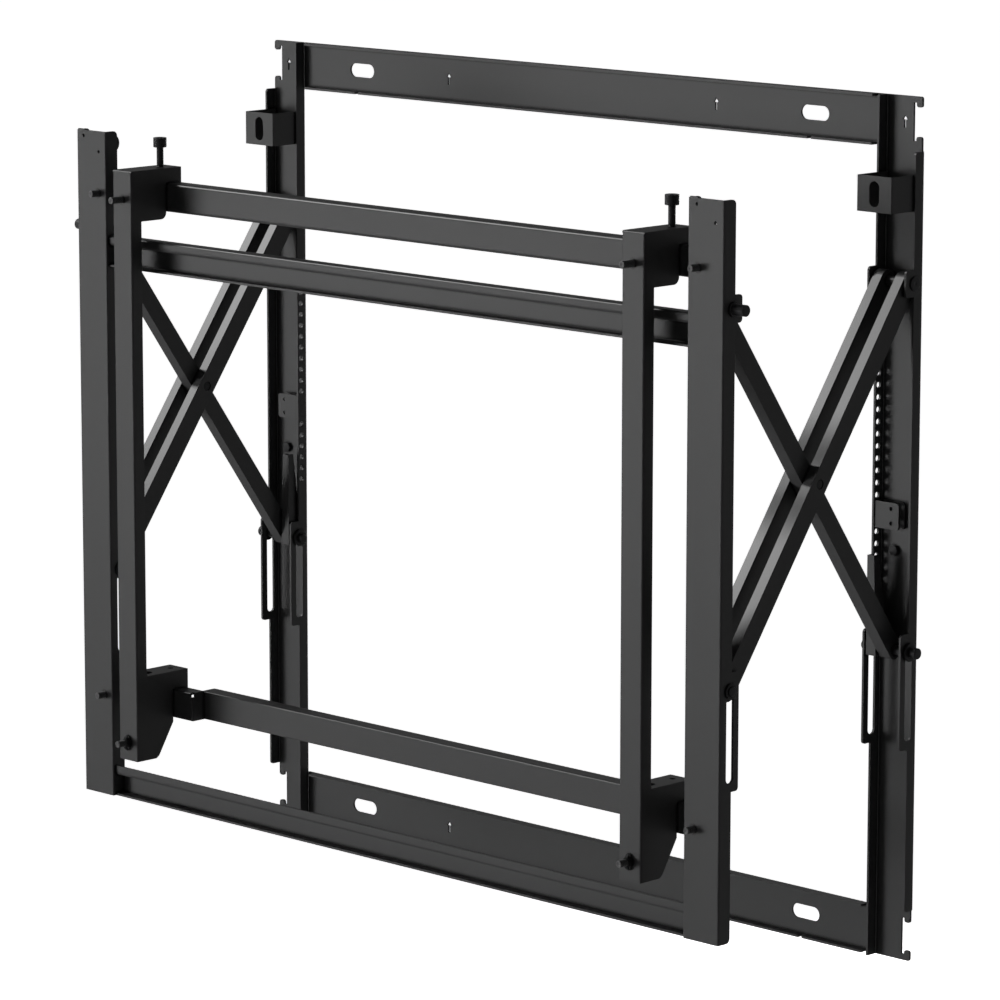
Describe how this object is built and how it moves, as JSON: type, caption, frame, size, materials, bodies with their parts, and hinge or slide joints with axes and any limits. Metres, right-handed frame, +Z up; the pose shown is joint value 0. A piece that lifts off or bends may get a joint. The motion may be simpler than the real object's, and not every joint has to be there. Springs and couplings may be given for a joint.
{
  "type": "video wall mount",
  "caption": "Pop-out wall mount for one display of a video wall: wall frame, scissor arms, sliding front frame and adjustable display brackets.",
  "frame": {"origin": "on the wall plane, in the middle of the four wall slots", "axes": "+X to the right as seen from the front, +Y into the wall, +Z up"},
  "size_m": [0.784, 0.2665, 0.708],
  "materials": {
    "powder_coat": "satin black powder coat with a fine grain",
    "arm_coat": "satin black coat on flat bar",
    "steel": "plain turned steel",
    "dark_steel": "black zinc plate",
    "rubber": "matt moulded rubber"
  },
  "bodies": {
    "wall": {"wall_rail_right": "powder_coat", "wall_rail_left": "powder_coat", "wall_bar_top": "powder_coat", "wall_bar_bottom": "powder_coat", "stop_bracket_right": "powder_coat", "stop_bracket_left": "powder_coat", "anchor_clip_right": "powder_coat", "anchor_clip_left": "powder_coat", "clip_rivets": "steel", "rail_bolts": "dark_steel", "wall_pivot_pins": "dark_steel"},
    "front_frame": {"post_right": "powder_coat", "post_left": "powder_coat", "cross_rail_upper": "powder_coat", "cross_rail_lower": "powder_coat", "front_pivot_pins": "steel", "bumper_right": "rubber", "bumper_left": "rubber", "stud_nuts": "dark_steel"},
    "display_frame": {"display_rail_upper": "powder_coat", "display_rail_lower": "powder_coat"},
    "double_arm_right": {"double_arm_right_inner": "arm_coat", "double_arm_right_outer": "arm_coat", "crossing_pin_right": "steel", "guide_pin_right": "dark_steel", "guide_washers_right": "dark_steel"},
    "single_arm_right": {"single_arm_right": "arm_coat", "axle_right": "dark_steel", "axle_washers_right": "dark_steel"},
    "stop_link_right": {"stop_link_right": "powder_coat"},
    "depth_stud_upper_right": {"depth_stud_upper_right": "steel"},
    "depth_stud_lower_right": {"depth_stud_lower_right": "steel"},
    "screw_pad_right": {"screw_pad_right": "dark_steel"},
    "height_screw_right": {"height_screw_right": "dark_steel"},
    "display_bracket_right": {"display_bracket_right": "powder_coat", "display_studs_right": "steel", "height_nut_right": "dark_steel"},
    "wing_nut_right": {"wing_nut_right": "dark_steel"},
    "double_arm_left": {"double_arm_left_inner": "arm_coat", "double_arm_left_outer": "arm_coat", "crossing_pin_left": "steel", "guide_pin_left": "dark_steel", "guide_washers_left": "dark_steel"},
    "single_arm_left": {"single_arm_left": "arm_coat", "axle_left": "dark_steel", "axle_washers_left": "dark_steel"},
    "stop_link_left": {"stop_link_left": "powder_coat"},
    "depth_stud_upper_left": {"depth_stud_upper_left": "steel"},
    "depth_stud_lower_left": {"depth_stud_lower_left": "steel"},
    "screw_pad_left": {"screw_pad_left": "dark_steel"},
    "height_screw_left": {"height_screw_left": "dark_steel"},
    "display_bracket_left": {"display_bracket_left": "powder_coat", "display_studs_left": "steel", "height_nut_left": "dark_steel"},
    "wing_nut_left": {"wing_nut_left": "dark_steel"}
  },
  "joints": [
    {"name": "scissor_fold", "type": "hinge", "parent": "wall", "child": "double_arm_right", "pos_m": [0.36, -0.01165, 0.2059], "axis": [1, 0, 0], "range_deg": [0, 28.71]},
    {"name": "crossing_turn_right", "type": "hinge", "parent": "double_arm_right", "child": "single_arm_right", "pos_m": [0.36, -0.118, 0.05593], "axis": [1, 0, 0], "range_deg": [-57.52, 0]},
    {"name": "stop_link_turn_right", "type": "hinge", "parent": "single_arm_right", "child": "stop_link_right", "pos_m": [0.36, -0.01165, -0.09404], "axis": [1, 0, 0], "range_deg": [0, 28.81]},
    {"name": "double_arm_turn_left", "type": "hinge", "parent": "wall", "child": "double_arm_left", "pos_m": [-0.36, -0.01165, 0.2059], "axis": [1, 0, 0], "range_deg": [0, 28.71]},
    {"name": "crossing_turn_left", "type": "hinge", "parent": "double_arm_left", "child": "single_arm_left", "pos_m": [-0.36, -0.118, 0.05593], "axis": [1, 0, 0], "range_deg": [-57.52, 0]},
    {"name": "stop_link_turn_left", "type": "hinge", "parent": "single_arm_left", "child": "stop_link_left", "pos_m": [-0.36, -0.01165, -0.09404], "axis": [1, 0, 0], "range_deg": [0, 28.81]},
    {"name": "front_pivot_turn", "type": "hinge", "parent": "single_arm_right", "child": "front_frame", "pos_m": [0.36, -0.22435, 0.2059], "axis": [1, 0, 0], "range_deg": [0, 28.81]},
    {"name": "depth_adjust", "type": "slide", "parent": "front_frame", "child": "display_frame", "axis": [0, 1, 0], "range_m": [-0.005, 0.005]},
    {"name": "depth_stud_upper_right_turn", "type": "hinge", "parent": "display_frame", "child": "depth_stud_upper_right", "pos_m": [0.3515, -0.236, 0.2368], "axis": [0, 1, 0], "range_deg": [-1801, 1801]},
    {"name": "depth_stud_upper_left_turn", "type": "hinge", "parent": "display_frame", "child": "depth_stud_upper_left", "pos_m": [-0.3515, -0.236, 0.2368], "axis": [0, 1, 0], "range_deg": [-1801, 1801]},
    {"name": "depth_stud_lower_right_turn", "type": "hinge", "parent": "display_frame", "child": "depth_stud_lower_right", "pos_m": [0.3515, -0.236, -0.2068], "axis": [0, 1, 0], "range_deg": [-1801, 1801]},
    {"name": "depth_stud_lower_left_turn", "type": "hinge", "parent": "display_frame", "child": "depth_stud_lower_left", "pos_m": [-0.3515, -0.236, -0.2068], "axis": [0, 1, 0], "range_deg": [-1801, 1801]},
    {"name": "bracket_slide_right", "type": "slide", "parent": "display_frame", "child": "screw_pad_right", "axis": [1, 0, 0], "range_m": [-0.02, 0.028]},
    {"name": "height_screw_turn_right", "type": "hinge", "parent": "screw_pad_right", "child": "height_screw_right", "pos_m": [0.3, -0.2096, 0.2519], "axis": [0, 0, 1], "range_deg": [0, 3601]},
    {"name": "bracket_lift_right", "type": "slide", "parent": "screw_pad_right", "child": "display_bracket_right", "axis": [0, 0, 1], "range_m": [0, 0.01]},
    {"name": "wing_nut_turn_right", "type": "hinge", "parent": "display_bracket_right", "child": "wing_nut_right", "pos_m": [0.3, -0.254, -0.239], "axis": [0, 1, 0], "range_deg": [0, 360]},
    {"name": "bracket_slide_left", "type": "slide", "parent": "display_frame", "child": "screw_pad_left", "axis": [1, 0, 0], "range_m": [-0.028, 0.02]},
    {"name": "height_screw_turn_left", "type": "hinge", "parent": "screw_pad_left", "child": "height_screw_left", "pos_m": [-0.3, -0.2096, 0.2519], "axis": [0, 0, 1], "range_deg": [0, 3601]},
    {"name": "bracket_lift_left", "type": "slide", "parent": "screw_pad_left", "child": "display_bracket_left", "axis": [0, 0, 1], "range_m": [0, 0.01]},
    {"name": "wing_nut_turn_left", "type": "hinge", "parent": "display_bracket_left", "child": "wing_nut_left", "pos_m": [-0.3, -0.254, -0.239], "axis": [0, 1, 0], "range_deg": [0, 360]}
  ],
  "couplings": [
    {"joint": "crossing_turn_right", "follows": "scissor_fold", "ratio": -2},
    {"joint": "stop_link_turn_right", "follows": "scissor_fold", "ratio": 1},
    {"joint": "double_arm_turn_left", "follows": "scissor_fold", "ratio": 1},
    {"joint": "crossing_turn_left", "follows": "scissor_fold", "ratio": -2},
    {"joint": "stop_link_turn_left", "follows": "scissor_fold", "ratio": 1},
    {"joint": "front_pivot_turn", "follows": "scissor_fold", "ratio": 1},
    {"joint": "depth_stud_upper_right_turn", "follows": "depth_adjust", "rad_per_m": 6283.2},
    {"joint": "depth_stud_upper_left_turn", "follows": "depth_adjust", "rad_per_m": 6283.2},
    {"joint": "depth_stud_lower_right_turn", "follows": "depth_adjust", "rad_per_m": 6283.2},
    {"joint": "depth_stud_lower_left_turn", "follows": "depth_adjust", "rad_per_m": 6283.2},
    {"joint": "height_screw_turn_right", "follows": "bracket_lift_right", "rad_per_m": 6283.2},
    {"joint": "height_screw_turn_left", "follows": "bracket_lift_left", "rad_per_m": 6283.2}
  ]
}
